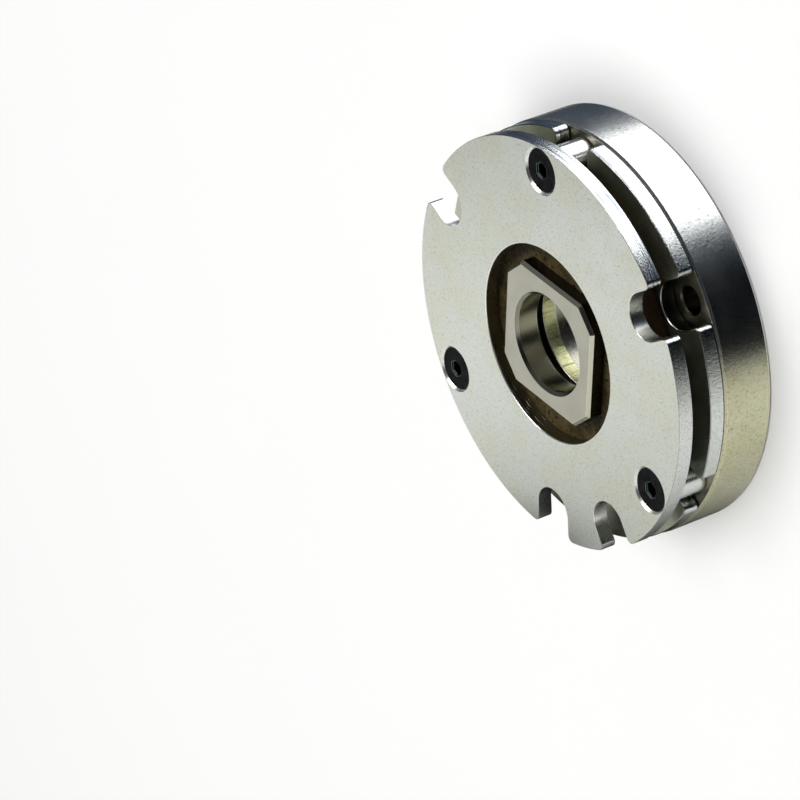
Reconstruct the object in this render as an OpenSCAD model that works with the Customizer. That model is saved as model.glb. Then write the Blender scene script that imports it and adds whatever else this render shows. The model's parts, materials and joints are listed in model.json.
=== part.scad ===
// Thin spring applied disc brake, held by springs and released by a ring coil.
// Millimetres. The shaft axis is +Z, and the stator's rear mounting face lies on z = 0.
// +Y points to one of the plate screws, and the side plate faces +Z.

/* [Shaft and hub] */
// Shaft bore of the hub
hub_bore_d = 19; // [12:0.5:22]
// Steel between the hub's bore and each of its flats
hub_wall = 3.7; // [2.5:0.1:5]
// Length that each hub corner is cut back along its flats
hub_corner = 4.2; // [3:0.1:5]
// Chamfer at both ends of the hub bore
hub_bore_edge = 0.6; // [0.3:0.1:1]
// Chamfer round the hub's outline at both ends
hub_edge = 0.6; // [0.2:0.1:1]
// Space kept between the hub's rear face and the armature
hub_back_gap = 1.7; // [0.6:0.1:2]
// Play between each hub flat and the rotor's square hole
hub_fit = 0.05; // [0.02:0.01:0.15]
// Turn of hub and rotor about the shaft, in degrees
hub_turn = -7; // [-45:1:45]

/* [Stator] */
// Outside diameter of the steel stator
stator_d = 80; // [74:0.5:95]
// Thickness of the stator along the shaft
stator_t = 10.3; // [9.2:0.1:14]
// Room round the shaft in the stator's bore
stator_bore_room = 2.5; // [1.5:0.1:3.5]
// Width of the inner pole ring, from the bore to the coil slot
inner_pole_w = 6; // [5:0.5:7]
// Width of the outer pole ring, from the coil slot to the rim
outer_pole_w = 11; // [9.5:0.5:13]
// Steel left behind the coil slot
slot_floor = 3.2; // [2.5:0.1:4]
// Chamfer on the stator's edges
stator_edge = 0.4; // [0.2:0.1:0.8]

/* [Armature and side plate] */
// How far the rims of armature and side plate lie inside the stator's rim
plate_step = 0.25; // [0:0.05:1]
// Thickness of the armature plate
armature_t = 3; // [2.5:0.1:4]
// Room round the shaft in the armature's bore
armature_bore_room = 1.25; // [1:0.05:2]
// Air gap between stator and armature while the coil is off
air_gap = 0.2; // [0.1:0.05:0.4]
// Thickness of the side plate
plate_t = 3; // [2.7:0.1:4]
// Open width between the hub's flats and the side plate's bore
hub_window = 6; // [5:0.1:8]

/* [Notches and bolt circle] */
// Distance from the stator's rim to the circle of screws, springs, notches and mounting holes
bolt_inset = 5; // [4.8:0.1:5.6]
// Width of the round-ended notches in the side plate and the armature
notch_w = 9.2; // [8:0.1:10]
// Rounding where a notch meets the rim
notch_ease = 1.2; // [0.5:0.1:1.5]
// Mounting holes through the stator
mount_hole_d = 5.3; // [4.3:0.1:6]

/* [Friction rotor] */
// Room between the rotor's rim and the spacer collars
rotor_room = 1.5; // [0.5:0.1:4]
// Thickness of the friction rotor
rotor_t = 4; // [3:0.1:6]
// Chamfer round the rotor's rim
rotor_edge = 0.4; // [0.2:0.1:0.8]

/* [Plate screws and spacers] */
// Thread diameter of the flat-head plate screws
screw_d = 4; // [3:0.5:4.5]
// Length of a plate screw over its head
screw_l = 16; // [14:0.5:18]
// Depth that the tapped holes run on below the screws
tap_room = 1.2; // [0.5:0.1:1.5]
// Diameter of the screw head
head_d = 8.6; // [7.5:0.1:9]
// How far the head lies below the plate's face
head_drop = 0.3; // [0.1:0.05:0.4]
// Hexagon socket across its flats
socket_w = 2.5; // [2:0.1:3]
// Depth of the hexagon socket
socket_depth = 1.6; // [1.2:0.1:1.8]
// Outside diameter of the spacer collars
spacer_d = 7; // [6.6:0.1:7.4]
// Play round a screw in its holes, on the diameter
screw_play = 0.3; // [0.1:0.05:0.5]

/* [Torque springs] */
// Outside diameter of a torque spring
spring_d = 4.2; // [3.6:0.1:4.6]
// Wire diameter of a torque spring
wire_d = 0.7; // [0.5:0.05:0.8]
// Working turns of a torque spring
spring_turns = 3.5; // [2.5:0.5:4.5]
// Play round a spring in its pocket, on the diameter
pocket_play = 0.5; // [0.3:0.1:0.8]
// Steel left behind the spring pockets
pocket_floor = 3; // [2.5:0.1:4]

/* [Coil] */
// Wall of the moulded bobbin
bobbin_wall = 0.8; // [0.6:0.1:1.2]
// Height of the resin poured over the bobbin
potting_t = 0.8; // [0.5:0.1:1.2]
// How far the resin lies below the pole face
potting_drop = 0.2; // [0.1:0.1:0.5]
// How far the winding stays inside the bobbin's flanges
winding_drop = 0.6; // [0.3:0.1:1.5]

/* [Lead inlet] */
// Direction of the lead inlet about the shaft, in degrees
inlet_angle = 225; // [220:1:230]
// Diameter of the lead hole in the stator's rim
inlet_d = 4; // [3.4:0.1:4.4]
// Outside diameter of the grommet's lip
lip_d = 5.8; // [5.2:0.1:6.4]
// Thickness of the grommet's lip
lip_t = 0.8; // [0.5:0.1:1.2]
// Hole through the grommet for the leads
lead_hole_d = 2.2; // [1.6:0.1:2.6]

/* [Hidden] */
$fn = 96;
// Small play between seated pieces, and overshoot of a cut
seat_play = 0.05;
cut = 1;

// Levels along the shaft
z_pole = stator_t;
z_armature = z_pole + air_gap;
z_rotor = z_armature + armature_t;
z_plate = z_rotor + rotor_t;
z_front = z_plate + plate_t;
z_hub = z_rotor + hub_back_gap;

// Diameters that follow from the shaft and the stator's rim
hub_w = hub_bore_d + 2 * hub_wall;
stator_bore_d = hub_bore_d + 2 * stator_bore_room;
armature_bore_d = hub_bore_d + 2 * armature_bore_room;
plate_bore_d = hub_w + 2 * hub_window;
slot_id = stator_bore_d + 2 * inner_pole_w;
slot_od = stator_d - 2 * outer_pole_w;
plate_d = stator_d - 2 * plate_step;
bolt_circle_d = stator_d - 2 * bolt_inset;
rotor_d = bolt_circle_d - spacer_d - 2 * rotor_room;

// Places round the shaft, in degrees
screw_angles = [90, 210, 330];
mount_angles = [30, 150, 270];
plate_notches = [30, 150, 270, 300];
armature_notches = concat(mount_angles, screw_angles);
spring_count = 6;

// Screw sizes that follow from the head
countersink_d = head_d + 2 * head_drop;
z_head = z_front - head_drop;
z_neck = z_head - (head_d - screw_d) / 2;
z_tip = z_head - screw_l;
z_tap = z_tip - tap_room;
tip_edge = 0.1 * screw_d;
screw_hole_d = screw_d + screw_play;
spacer_edge = 0.3;
mount_hole_edge = 0.4;

// Spring sizes that follow from the pocket
pocket_d = spring_d + pocket_play;
spring_l = z_armature - pocket_floor;
closed_pitch = 1.15 * wire_d;
total_turns = spring_turns + 2;
rings_per_turn = 12;
wire_sides = 6;

// Coil levels
z_potting = z_pole - potting_drop - potting_t;
bobbin_r1 = slot_id / 2 + seat_play;
bobbin_r2 = slot_od / 2 - seat_play;
core_r = bobbin_r1 + bobbin_wall;
z_inlet = (slot_floor + z_pole) / 2;

// A child placed on the bolt circle, at an angle about the shaft
module on_circle(angle) {
    rotate([0, 0, angle]) translate([bolt_circle_d / 2, 0, 0]) children();
}

// A ring with chamfered edges, standing on z = 0
module ring(outer_d, inner_d, height, edge) {
    rotate_extrude()
        polygon([[inner_d / 2, 0], [outer_d / 2 - edge, 0], [outer_d / 2, edge],
                 [outer_d / 2, height - edge], [outer_d / 2 - edge, height],
                 [inner_d / 2, height]]);
}

// The sliver that rounds one corner of a notch mouth; the notch runs out along +X
module notch_corner(rim_r) {
    v = notch_w / 2 + notch_ease;
    u = sqrt(pow(rim_r - notch_ease, 2) - v * v);
    reach = (rim_r + cut) / (rim_r - notch_ease);
    difference() {
        polygon([[u, v], [u, notch_w / 2 - cut], [rim_r + cut, notch_w / 2 - cut],
                 [u * reach, v * reach]]);
        translate([u, v]) circle(notch_ease);
    }
}

// A round-ended notch, open at the rim, with both corners of its mouth rounded
module notch(angle, rim_r) {
    rotate(angle) {
        translate([bolt_circle_d / 2, 0]) circle(d = notch_w);
        translate([bolt_circle_d / 2, -notch_w / 2])
            square([rim_r + cut - bolt_circle_d / 2, notch_w]);
        notch_corner(rim_r);
        mirror([0, 1]) notch_corner(rim_r);
    }
}

// A flat disc with a bore and notches in its rim
module notched_disc(disc_d, bore_d, angles) {
    difference() {
        circle(d = disc_d);
        circle(d = bore_d);
        for (angle = angles) notch(angle, disc_d / 2);
    }
}

// A square with its corners cut off
module corner_cut_square(width, corner) {
    h = width / 2;
    k = h - corner;
    polygon([[k, -h], [h, -k], [h, k], [k, h], [-k, h], [-h, k], [-h, -k], [-k, -h]]);
}

// Cuts a chamfer along a straight edge that runs along Y, from its inner end outwards and down
module edge_cut(length, edge) {
    rotate([0, 45, 0]) translate([-edge, -length / 2, 0]) cube([4 * edge, length, 2 * edge]);
}

// A corner-cut square block standing on z = 0, with a chamfer round both of its ends
module chamfered_block(width, corner, height, edge) {
    difference() {
        linear_extrude(height) corner_cut_square(width, corner);
        for (side = [0:7]) {
            flat = side % 2 == 0 ? width / 2 : (width - corner) / sqrt(2);
            rotate([0, 0, 45 * side]) {
                translate([flat - edge, 0, height]) edge_cut(width, edge);
                mirror([0, 0, 1]) translate([flat - edge, 0, 0]) edge_cut(width, edge);
            }
        }
    }
}

module stator_yoke() {
    rim = stator_d / 2;
    bore = stator_bore_d / 2;
    color([0.72, 0.73, 0.7])
    difference() {
        rotate_extrude()
            polygon([[bore + stator_edge, 0], [rim - stator_edge, 0], [rim, stator_edge],
                     [rim, z_pole - stator_edge], [rim - stator_edge, z_pole],
                     [slot_od / 2, z_pole], [slot_od / 2, slot_floor],
                     [slot_id / 2, slot_floor], [slot_id / 2, z_pole],
                     [bore + stator_edge, z_pole], [bore, z_pole - stator_edge],
                     [bore, stator_edge]]);
        for (angle = mount_angles) on_circle(angle) {
            translate([0, 0, -cut]) cylinder(d = mount_hole_d, h = z_pole + 2 * cut);
            translate([0, 0, z_pole - mount_hole_edge])
                cylinder(d1 = mount_hole_d, d2 = mount_hole_d + 2 * (mount_hole_edge + cut),
                         h = mount_hole_edge + cut);
        }
        for (angle = screw_angles) on_circle(angle)
            translate([0, 0, z_tap])
                cylinder(d = screw_d + 2 * seat_play, h = z_pole - z_tap + cut);
        for (i = [1:spring_count]) on_circle(spring_angle(i))
            translate([0, 0, pocket_floor]) cylinder(d = pocket_d, h = z_pole - pocket_floor + cut);
        rotate([0, 0, inlet_angle]) translate([slot_od / 2 - cut, 0, z_inlet])
            rotate([0, 90, 0]) cylinder(d = inlet_d, h = (stator_d - slot_od) / 2 + 2 * cut);
    }
}

// Moulded spool in the coil slot: a core tube between two flanges
module coil_bobbin() {
    color([0.9, 0.88, 0.8])
    rotate_extrude()
        polygon([[bobbin_r1, slot_floor], [bobbin_r2, slot_floor],
                 [bobbin_r2, slot_floor + bobbin_wall], [core_r, slot_floor + bobbin_wall],
                 [core_r, z_potting - bobbin_wall], [bobbin_r2, z_potting - bobbin_wall],
                 [bobbin_r2, z_potting], [bobbin_r1, z_potting]]);
}

module coil_winding() {
    color([0.72, 0.4, 0.2])
    translate([0, 0, slot_floor + bobbin_wall])
        ring(2 * (bobbin_r2 - winding_drop), 2 * core_r, z_potting - slot_floor - 2 * bobbin_wall,
             bobbin_wall / 2);
}

module coil_potting() {
    color([0.16, 0.15, 0.15])
    translate([0, 0, z_potting]) ring(2 * bobbin_r2, 2 * bobbin_r1, potting_t, potting_drop);
}

// Rubber bush in the lead hole, with its lip outside the rim
module lead_grommet() {
    bush = inlet_d / 2 - seat_play;
    wall_start = slot_od / 2 + winding_drop;
    color([0.1, 0.1, 0.1])
    rotate([0, 0, inlet_angle]) translate([0, 0, z_inlet]) rotate([0, 90, 0])
        rotate_extrude()
            polygon([[lead_hole_d / 2, wall_start], [bush, wall_start], [bush, stator_d / 2],
                     [lip_d / 2, stator_d / 2], [lip_d / 2, stator_d / 2 + lip_t / 2],
                     [lip_d / 2 - lip_t / 2, stator_d / 2 + lip_t],
                     [lead_hole_d / 2, stator_d / 2 + lip_t]]);
}

function spring_angle(i) = (i - 1) * 360 / spring_count;

// Height of the wire's centre after t turns: a closed turn, the open turns, a closed turn
function wire_z(t) =
    t < 1 ? t * closed_pitch
    : t > total_turns - 1 ? spring_l - (total_turns - t) * closed_pitch
    : closed_pitch + (t - 1) * (spring_l - 2 * closed_pitch) / spring_turns;

// One corner of the wire's section, with both ends of the spring ground flat
function wire_point(t, k) =
    let (a = 360 * (k + 0.5) / wire_sides,
         r = (spring_d - wire_d + wire_d * cos(a)) / 2,
         z = wire_z(t) + wire_d / 2 * sin(a))
    [r * cos(360 * t), r * sin(360 * t), min(max(z, 0), spring_l)];

// Closed and ground compression spring, standing on z = 0
module coil_spring() {
    rings = round(total_turns * rings_per_turn);
    last = rings * wire_sides;
    points = [for (i = [0:rings]) for (k = [0:wire_sides - 1])
              wire_point(i * total_turns / rings, k)];
    sides = [for (i = [0:rings - 1]) for (k = [0:wire_sides - 1])
             let (a = i * wire_sides + k, b = i * wire_sides + (k + 1) % wire_sides)
             each [[a, b, a + wire_sides], [b, b + wire_sides, a + wire_sides]]];
    // The top corner of the first section, and the bottom corner of the last, fan out the caps
    top = 1;
    bottom = last + 4;
    start_cap = [for (k = [2:wire_sides - 1]) [top, (k + 1) % wire_sides, k]];
    end_cap = [for (k = [5:wire_sides + 2]) [bottom, last + k % wire_sides, last + (k + 1) % wire_sides]];
    polyhedron(points, concat(sides, start_cap, end_cap));
}

module torque_spring(i) {
    color([0.55, 0.56, 0.58])
    on_circle(spring_angle(i)) translate([0, 0, pocket_floor]) coil_spring();
}

module armature_plate() {
    color([0.74, 0.75, 0.72])
    translate([0, 0, z_armature]) linear_extrude(armature_t)
        notched_disc(plate_d, armature_bore_d, armature_notches);
}

module friction_rotor() {
    hole_corner = hub_corner + (2 - sqrt(2)) * hub_fit;
    color([0.28, 0.19, 0.12])
    translate([0, 0, z_rotor]) difference() {
        ring(rotor_d, 0, rotor_t, rotor_edge);
        translate([0, 0, -cut]) rotate(hub_turn) linear_extrude(rotor_t + 2 * cut)
            corner_cut_square(hub_w + 2 * hub_fit, hole_corner);
    }
}

module rotor_hub() {
    hub_l = z_front - z_hub;
    color([0.8, 0.79, 0.75])
    translate([0, 0, z_hub]) difference() {
        rotate([0, 0, hub_turn]) chamfered_block(hub_w, hub_corner, hub_l, hub_edge);
        translate([0, 0, -cut]) cylinder(d = hub_bore_d, h = hub_l + 2 * cut);
        translate([0, 0, hub_l - hub_bore_edge])
            cylinder(d1 = hub_bore_d, d2 = hub_bore_d + 2 * (hub_bore_edge + cut),
                     h = hub_bore_edge + cut);
        translate([0, 0, -cut])
            cylinder(d1 = hub_bore_d + 2 * (hub_bore_edge + cut), d2 = hub_bore_d,
                     h = hub_bore_edge + cut);
    }
}

module spacer_collar(i) {
    color([0.82, 0.82, 0.8])
    on_circle(screw_angles[i - 1]) translate([0, 0, z_pole])
        ring(spacer_d, screw_hole_d, z_plate - z_pole, spacer_edge);
}

module side_plate() {
    rim = countersink_d / 2 + seat_play / 2;
    color([0.8, 0.81, 0.77])
    difference() {
        translate([0, 0, z_plate]) linear_extrude(plate_t)
            notched_disc(plate_d, plate_bore_d, plate_notches);
        for (angle = screw_angles) on_circle(angle) {
            translate([0, 0, z_plate - cut]) cylinder(d = screw_hole_d, h = plate_t + 2 * cut);
            translate([0, 0, z_front - rim]) cylinder(r1 = 0, r2 = rim + cut, h = rim + cut);
        }
    }
}

// Flat-head screws with a hexagon socket, each a separate solid
module plate_screws() {
    color([0.12, 0.12, 0.12])
    for (angle = screw_angles) on_circle(angle) difference() {
        rotate_extrude()
            polygon([[0, z_tip], [screw_d / 2 - tip_edge, z_tip], [screw_d / 2, z_tip + tip_edge],
                     [screw_d / 2, z_neck], [head_d / 2, z_head], [0, z_head]]);
        translate([0, 0, z_head - socket_depth])
            cylinder(d = socket_w / cos(30), h = socket_depth + cut, $fn = 6);
    }
}

stator_yoke();
coil_bobbin();
coil_winding();
coil_potting();
lead_grommet();
for (i = [1:spring_count])
    torque_spring(i);
armature_plate();
friction_rotor();
rotor_hub();
for (i = [1:len(screw_angles)])
    spacer_collar(i);
side_plate();
plate_screws();
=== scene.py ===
import json

import bpy
import numpy as np
from mathutils import Matrix, Vector
from mathutils.geometry import delaunay_2d_cdt

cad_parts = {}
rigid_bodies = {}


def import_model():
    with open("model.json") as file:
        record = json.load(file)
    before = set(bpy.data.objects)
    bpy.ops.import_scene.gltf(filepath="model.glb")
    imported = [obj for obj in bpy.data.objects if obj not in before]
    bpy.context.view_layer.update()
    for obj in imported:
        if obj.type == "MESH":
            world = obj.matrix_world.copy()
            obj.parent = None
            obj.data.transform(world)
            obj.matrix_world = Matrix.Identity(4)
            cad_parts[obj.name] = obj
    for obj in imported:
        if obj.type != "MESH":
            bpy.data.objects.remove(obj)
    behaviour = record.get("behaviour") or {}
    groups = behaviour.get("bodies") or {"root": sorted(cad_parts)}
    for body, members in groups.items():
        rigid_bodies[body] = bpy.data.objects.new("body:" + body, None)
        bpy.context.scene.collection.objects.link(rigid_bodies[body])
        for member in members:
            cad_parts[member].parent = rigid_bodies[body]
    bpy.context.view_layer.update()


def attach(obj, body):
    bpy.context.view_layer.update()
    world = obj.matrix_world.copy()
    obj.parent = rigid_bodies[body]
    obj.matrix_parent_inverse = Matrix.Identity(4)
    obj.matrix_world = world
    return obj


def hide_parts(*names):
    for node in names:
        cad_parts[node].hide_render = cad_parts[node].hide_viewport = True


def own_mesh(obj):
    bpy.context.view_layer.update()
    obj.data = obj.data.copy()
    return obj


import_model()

# heights along the shaft and circles that several pieces share, in mm and degrees
stack = {
    "poleFace": 10.29, "armatureBack": 10.5, "rotorBack": 13.5, "plateBack": 17.5, "front": 20.5,
    "boltCircle": 35.0, "screwAngles": (90, 210, 330), "mountAngles": (30, 150, 270),
    "plateRadius": 39.75, "notchWidth": 9.2, "notchEase": 1.2, "mouthDepth": 1.44, "screwHole": 2.15,
    "hubTurn": -7.0,
}
# what a face belongs to, kept as a colour on the mesh so that one finish can treat them apart
plainZone, rimZone, boreZone, holeZone = (0, 0, 0), (1, 0, 0), (0, 1, 0), (0, 0, 1)
brakeParts = bpy.data.collections.new("brakeParts")  # what the brake's own lights shine on
mm = 0.001  # the frame is in metres
tiny = 1e-9
weld = {"perMm": 1e4, "shift": 0.137}  # points with the same whole number become one
notchStep = {"mouth": 12, "end": 6, "rim": 1.0}  # degrees between the points of a notched rim


def onBoltCircle(angle):
    turn = np.radians(angle)
    return stack["boltCircle"] * np.array([np.cos(turn), np.sin(turn)])


# Straight runs between corners, each corner eased by an arc of its own radius that touches both runs.
# The normal is the tangent turned a quarter to the right, so a walk round a section goes against the clock.
# The edge value is sin(pi s) along an arc and 0 on the runs.
def easedPath(corners, radii, steps=5, closed=False):
    corners = np.asarray(corners, float)
    count = len(corners)
    runs = []
    for i in range(count):
        ahead = corners[(i + 1) % count] - corners[i]
        behind = corners[i] - corners[i - 1]
        if not closed and i == 0:
            behind = ahead
        if not closed and i == count - 1:
            ahead = behind
        d1, d2 = behind / np.hypot(*behind), ahead / np.hypot(*ahead)
        n1, n2 = np.array([d1[1], -d1[0]]), np.array([d2[1], -d2[0]])
        turn = np.arctan2(d1[0] * d2[1] - d1[1] * d2[0], d1 @ d2)
        if abs(turn) < tiny:
            runs.append((corners[i][None], n1[None], np.zeros(1)))
        elif radii[i] == 0:
            runs.append((np.stack([corners[i]] * 2), np.stack([n1, n2]), np.zeros(2)))
        else:
            s = np.linspace(0, 1, steps + 1)
            c, k = np.cos(s * turn), np.sin(s * turn)
            n = np.stack([n1[0] * c - n1[1] * k, n1[0] * k + n1[1] * c], 1)
            side = np.sign(turn) * radii[i]
            centre = corners[i] - d1 * radii[i] * abs(np.tan(turn / 2)) - side * n1
            runs.append((centre + side * n, n, np.sin(np.pi * s)))
    return [np.concatenate(part) for part in zip(*runs)]


# An open section without its two end corners, which only give the directions of the faces it runs into.
def edgeSection(corners, radii, steps=5):
    return [part[1:-1] for part in easedPath(corners, radii, steps)]


# Wall at r = R from one height to another with rounded edges, out to the faces that it runs into; the wall of
# a bore is walked from the top down.
def roundedWall(radius, low, high, lowEdge, highEdge, hollow=False):
    beyond = radius + (1 if hollow else -1)
    way = -1 if hollow else 1
    return edgeSection([(beyond, low), (radius, low), (radius, high), (beyond, high)][::way],
                       [0, lowEdge, highEdge, 0][::way])


# The same with a flat chamfer at both edges, whose corners are softened.
def chamferedWall(radius, low, high, chamfer, soft, hollow=False):
    way = -1 if hollow else 1
    back, beyond = radius - way * chamfer, radius - 2 * way * chamfer
    return edgeSection([(beyond, low), (back, low), (radius, low + chamfer), (radius, high - chamfer),
                        (back, high), (beyond, high)][::way], [0, soft, soft, soft, soft, 0])


# A closed section whose last point repeats its first.
def ringSection(corners, radii, steps=4):
    return [np.concatenate([part, part[:1]]) for part in easedPath(corners, radii, steps, closed=True)]


# Circle points c + r (cos a, sin a); the normals look out of the centre, or into it for a hollow arc.
def arcRun(centre, radius, start, stop, step=1.5, hollow=False):
    a = np.radians(np.linspace(start, stop, max(2, int(np.ceil(abs(stop - start) / step)) + 1)))
    d = np.stack([np.cos(a), np.sin(a)], 1)
    return np.asarray(centre) + radius * d, -d if hollow else d


def turnFlat(run, angle):
    c, k = np.cos(np.radians(angle)), np.sin(np.radians(angle))
    spin = np.array([[c, k], [-k, c]])
    return run[0] @ spin, run[1] @ spin


# Rim of a disc with round-ended notches: mouth arc, half circle, mouth arc and rim arc, notch by notch.
def notchedOutline(rim, angles):
    half, ease, centre = stack["notchWidth"] / 2, stack["notchEase"], stack["boltCircle"]
    v = half + ease
    u = np.sqrt((rim - ease) ** 2 - v ** 2)
    mouth = np.degrees(np.arctan2(v, u))
    angles = sorted(angles)
    runs = []
    for angle, following in zip(angles, angles[1:] + [angles[0] + 360]):
        near = turnFlat(arcRun((u, -v), ease, -mouth, 90, notchStep["mouth"]), angle)
        end = turnFlat(arcRun((centre, 0), half, -90, -270, notchStep["end"], hollow=True), angle)
        far = turnFlat(arcRun((u, v), ease, -90, mouth, notchStep["mouth"]), angle)
        rimArc = arcRun((0, 0), rim, angle + mouth, following - mouth, notchStep["rim"])
        runs += [near, end, (far[0][:-1], far[1][:-1]), (rimArc[0][:-1], rimArc[1][:-1])]
    return np.concatenate([r[0] for r in runs]), np.concatenate([r[1] for r in runs])


# Square with cut corners, all its upright edges eased, turned about the shaft.
def cutSquare(width, corner, ease, turn):
    h, k = width / 2, width / 2 - corner
    corners = [(k, -h), (h, -k), (h, k), (k, h), (-k, h), (-h, k), (-h, -k), (-k, -h)]
    points, normals, _ = easedPath(corners, [ease] * 8, 4, closed=True)
    return turnFlat((points, normals), turn)


# Points, normals, edge values, zones and faces of one surface; the faces turn to the side that the normals
# look to.
def patch(points, normals, edge, zone, faces):
    points, normals = points.reshape(-1, 3), normals.reshape(-1, 3)
    around = points[faces]
    look = np.cross(around[:, 2] - around[:, 0], around[:, -1] - around[:, 1])
    if (look * normals[faces].mean(1)).sum() < 0:
        faces = faces[:, ::-1]
    zones = np.broadcast_to(np.asarray(zone, float), points.shape)
    return {"points": points, "normals": normals, "edge": np.ravel(edge), "zones": zones, "faces": faces}


# Quads between neighbours of a grid, which closes on itself in its first direction unless closed is off.
def gridPatch(points, normals, edge, zone, closed=True):
    rows, cols = points.shape[:2]
    at = np.arange(rows * cols).reshape(rows, cols)
    near = at if closed else at[:-1]
    far = np.roll(at, -1, 0) if closed else at[1:]
    faces = np.stack([near[:, :-1], far[:, :-1], far[:, 1:], near[:, 1:]], -1).reshape(-1, 4)
    made = patch(points, normals, edge, zone, faces)
    made["first"], made["last"] = points[:, 0, :2], points[:, -1, :2]
    return made


# A section (r, h) turned about a line through centre: p = centre + h along + r (cos t side + sin t other),
# where along is the shaft, or the radial line at an angle about it.
def turned(section, count, zone=plainZone, centre=(0, 0, 0), radial=None):
    path, look, edge = section
    t = np.arange(count)[:, None, None] * 2 * np.pi / count
    along, side, other = np.array([0, 0, 1.0]), np.array([1.0, 0, 0]), np.array([0, 1.0, 0])
    if radial is not None:
        c, k = np.cos(np.radians(radial)), np.sin(np.radians(radial))
        along, side, other = np.array([c, k, 0]), np.array([-k, c, 0]), np.array([0, 0, 1.0])
    out = np.cos(t) * side + np.sin(t) * other
    centre = np.append(centre, 0)[:3]
    points = centre + path[:, 1:] * along + path[:, :1] * out
    normals = look[:, 1:] * along + look[:, :1] * out
    return gridPatch(points, normals, np.broadcast_to(edge, points.shape[:2]), zone)


# A section (a, z) carried along a closed flat outline: each outline point moves by a along its normal.
def carried(section, outline, zone=rimZone):
    path, look, edge = section
    spots, out = outline
    shape = (len(spots), len(path))
    flat, flatLook = spots[:, None] + path[None, :, :1] * out[:, None], look[None, :, :1] * out[:, None]
    points = np.concatenate([flat, np.broadcast_to(path[:, 1:], shape + (1,))], -1)
    normals = np.concatenate([flatLook, np.broadcast_to(look[:, 1:], shape + (1,))], -1)
    zones = zone if np.ndim(zone) == 3 else np.reshape(zone, (-1, 1, 3))
    zones = np.broadcast_to(zones, points.shape).reshape(-1, 3)
    return gridPatch(points, normals, np.broadcast_to(edge, shape), zones)


# The rim of a notched disc; the walls of its notches, past the eased mouths, are hole walls.
def notchedBand(section, angles):
    spots, out = notchedOutline(stack["plateRadius"], angles)
    inside = np.hypot(*spots.T) < stack["plateRadius"] - stack["mouthDepth"]
    return carried(section, (spots, out), np.where(inside[:, None], holeZone, rimZone))


# Triangles between closed flat loops, the inner loops being holes; each is a quad with its last corner twice.
def fillLoops(loops):
    points = np.concatenate(loops)
    ends = np.cumsum([len(loop) for loop in loops])
    rings = [list(range(end - len(loop), end)) for loop, end in zip(loops, ends)]
    out = delaunay_2d_cdt([Vector(p) for p in points.tolist()], [], rings, 2, tiny)
    source = np.array([ids[0] for ids in out[3]])
    faces = source[np.array([list(f) for f in out[2]])]
    return points, np.column_stack([faces, faces[:, -1]])


def flatFace(loops, height, up, zone=plainZone):
    flat, faces = fillLoops(loops)
    points = np.column_stack([flat, np.full(len(flat), height)])
    normals = np.tile([0.0, 0.0, 1.0 if up else -1.0], (len(flat), 1))
    return patch(points, normals, np.zeros(len(flat)), zone, faces)


# Flat faces above and below between an outer band, which runs upwards, and its holes, which run downwards.
def closingFaces(outer, holes, low, high):
    return [flatFace([outer["last"]] + [hole["first"] for hole in holes], high, True),
            flatFace([outer["first"]] + [hole["last"] for hole in holes], low, False)]


# A fan from a ring of points to their middle, pushed off by depth along the way it looks.
def cap(ring, look, depth=0.0, zone=plainZone):
    middle = ring.mean(0) + depth * np.asarray(look)
    points = np.stack([ring, np.broadcast_to(middle, ring.shape)], 1)
    normals = np.broadcast_to(np.asarray(look, float), points.shape)
    return gridPatch(points, normals, np.zeros(points.shape[:2]), zone)


# Joins patches into one closed mesh: points that coincide become one, collapsed sides go, and the worked-out
# normals, edge values and zones stay on each face corner.
def makePiece(name, patches, material, body, nodes):
    points = np.concatenate([p["points"] for p in patches])
    keys = np.round(points * weld["perMm"] + weld["shift"]).astype(np.int64)
    _, first, whole = np.unique(keys, axis=0, return_index=True, return_inverse=True)
    whole = whole.ravel()
    corners, sources, sizes, base = [], [], [], 0
    for p in patches:
        at = p["faces"] + base
        base += len(p["points"])
        joined = whole[at]
        repeats = joined == np.roll(joined, -1, 1)
        full, short = repeats.sum(1) == 0, repeats.sum(1) == 1
        corners += [joined[full].ravel(), joined[short][~repeats[short]]]
        sources += [at[full].ravel(), at[short][~repeats[short]]]
        sizes += [np.full(full.sum(), 4), np.full(short.sum(), 3)]
    corners, sources, sizes = np.concatenate(corners), np.concatenate(sources), np.concatenate(sizes)
    mesh = bpy.data.meshes.new(name)
    mesh.vertices.add(len(first))
    mesh.vertices.foreach_set("co", (points[first] * mm).ravel())
    mesh.loops.add(len(corners))
    mesh.loops.foreach_set("vertex_index", corners.astype(np.int32))
    mesh.polygons.add(len(sizes))
    mesh.polygons.foreach_set("loop_start", (np.cumsum(sizes) - sizes).astype(np.int32))
    mesh.polygons.foreach_set("use_smooth", np.ones(len(sizes), bool))
    mesh.update(calc_edges=True)
    if mesh.validate():
        print("mesh was corrected:", name)
    normals = np.concatenate([p["normals"] for p in patches])[sources]
    normals /= np.linalg.norm(normals, axis=1, keepdims=True)
    mesh.normals_split_custom_set(normals.tolist())
    edge = mesh.attributes.new("edge", "FLOAT", "CORNER")
    edge.data.foreach_set("value", np.concatenate([p["edge"] for p in patches])[sources].astype(np.float32))
    zones = np.concatenate([p["zones"] for p in patches])[sources]
    zone = mesh.attributes.new("zone", "FLOAT_COLOR", "CORNER")
    zone.data.foreach_set("color", np.column_stack([zones, np.ones(len(zones))]).astype(np.float32).ravel())
    mesh.materials.append(material)
    piece = bpy.data.objects.new(name, mesh)
    bpy.context.scene.collection.objects.link(piece)
    brakeParts.objects.link(piece)
    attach(piece, body)
    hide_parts(*nodes)
    print("piece:", name, len(sizes), "faces")
    return piece


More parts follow.
